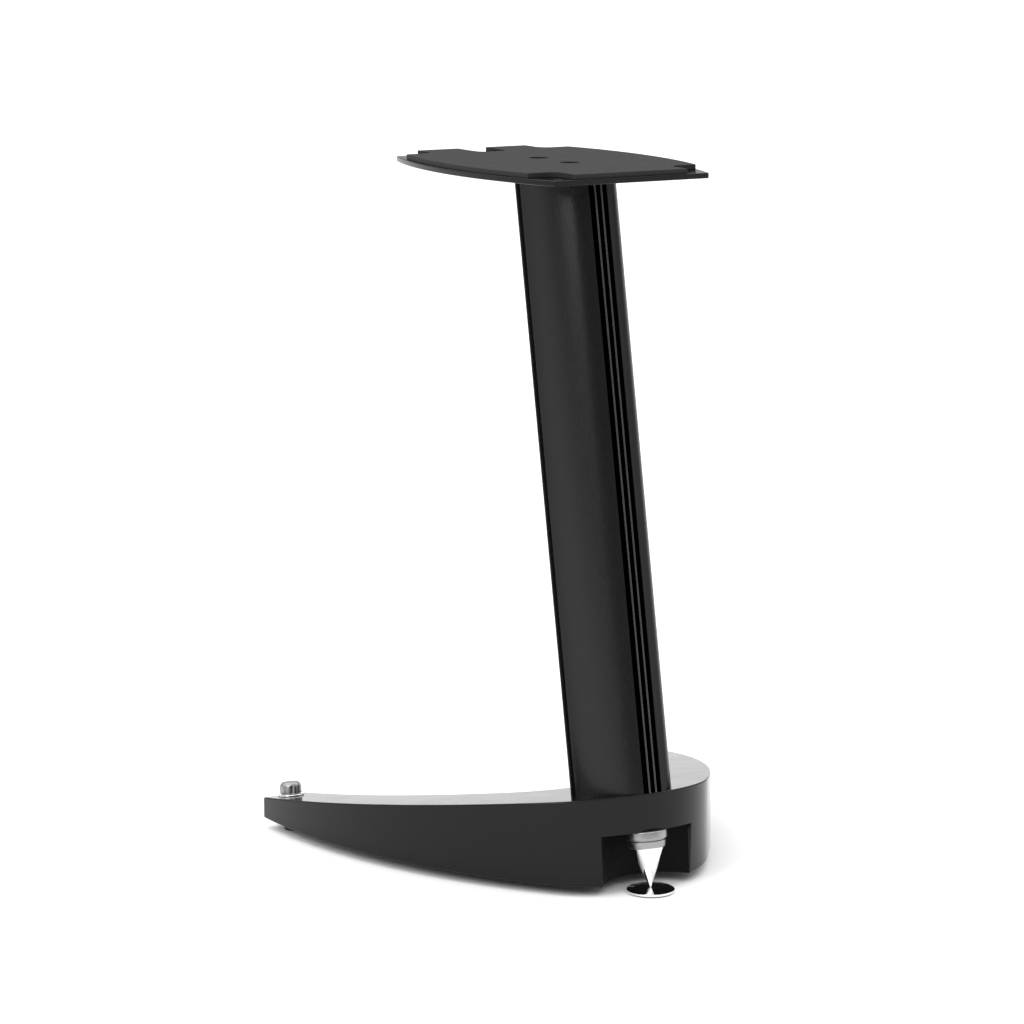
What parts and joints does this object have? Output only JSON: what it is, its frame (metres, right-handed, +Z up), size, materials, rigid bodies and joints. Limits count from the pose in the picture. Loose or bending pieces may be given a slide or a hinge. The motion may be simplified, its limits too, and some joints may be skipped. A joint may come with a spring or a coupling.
{
  "type": "loudspeaker floor stand",
  "caption": "Floor stand for a bookshelf loudspeaker: crescent wedge base on adjustable spikes, leaning oval column with grooved front, level top plate with a soft mat.",
  "frame": {"origin": "on the floor, in the middle of the stand's footprint", "axes": "+Z up, -Y towards the front, where the single front spike is, +X towards the right-hand arm seen from the back"},
  "size_m": [0.404, 0.3918, 0.6415],
  "materials": {
    "base_lacquer": "black lacquer, satin to gloss, over dense fibreboard",
    "column_black": "satin black coated extrusion",
    "trim_black": "satin black anodised, ribbed",
    "panel_black": "fine grained matte",
    "block_aluminium": "as sawn",
    "plate_black": "gloss black paint on steel",
    "mat_rubber": "dark grey foamed rubber",
    "spike_chrome": "polished",
    "disc_chrome": "mirror polished",
    "knob_steel": "turned and lightly brushed",
    "ring_steel": "turned",
    "glide_black": "moulded, satin black",
    "insert_brass": "turned",
    "fastener_steel": "black oxide",
    "pad_felt": "pressed felt"
  },
  "bodies": {
    "stand": {"base": "base_lacquer", "front_insert": "insert_brass", "rear_left_insert": "knob_steel", "rear_right_insert": "knob_steel", "front_lock_ring": "ring_steel", "column_shell": "column_black", "column_front_trim": "trim_black", "column_back_panel": "panel_black", "column_bottom_block": "block_aluminium", "column_top_block": "block_aluminium", "base_bolts": "fastener_steel", "base_bolt_washers": "knob_steel", "top_plate": "plate_black", "top_mat": "mat_rubber", "plate_screws": "fastener_steel"},
    "front_foot": {"front_disc": "disc_chrome", "front_disc_pad": "pad_felt"},
    "front_screw": {"front_spike": "spike_chrome"},
    "rear_left_foot": {"rear_left_glide": "glide_black"},
    "rear_left_screw": {"rear_left_spike": "spike_chrome", "rear_left_knob": "knob_steel"},
    "rear_right_foot": {"rear_right_glide": "glide_black"},
    "rear_right_screw": {"rear_right_spike": "spike_chrome", "rear_right_knob": "knob_steel"}
  },
  "joints": [
    {"name": "front_height", "type": "slide", "parent": "stand", "child": "front_foot", "axis": [0, 0.1668, 0.986], "range_m": [-0.01, 0]},
    {"name": "front_turn", "type": "hinge", "parent": "front_foot", "child": "front_screw", "pos_m": [0, -0.1741, 0.004], "axis": [0, 0.1668, 0.986], "range_deg": [-2401, 0]},
    {"name": "rear_left_height", "type": "slide", "parent": "stand", "child": "rear_left_foot", "axis": [0, 0.1668, 0.986], "range_m": [0, 0.004]},
    {"name": "rear_left_turn", "type": "hinge", "parent": "rear_left_foot", "child": "rear_left_screw", "pos_m": [-0.18042, 0.17523, 0.004], "axis": [0, 0.1668, 0.986], "range_deg": [0, 961]},
    {"name": "rear_right_height", "type": "slide", "parent": "stand", "child": "rear_right_foot", "axis": [0, 0.1668, 0.986], "range_m": [0, 0.004]},
    {"name": "rear_right_turn", "type": "hinge", "parent": "rear_right_foot", "child": "rear_right_screw", "pos_m": [0.18042, 0.17523, 0.004], "axis": [0, 0.1668, 0.986], "range_deg": [0, 961]}
  ],
  "couplings": [
    {"joint": "front_turn", "follows": "front_height", "rad_per_m": 4188.8},
    {"joint": "rear_left_turn", "follows": "rear_left_height", "rad_per_m": 4188.8},
    {"joint": "rear_right_turn", "follows": "rear_right_height", "rad_per_m": 4188.8}
  ]
}
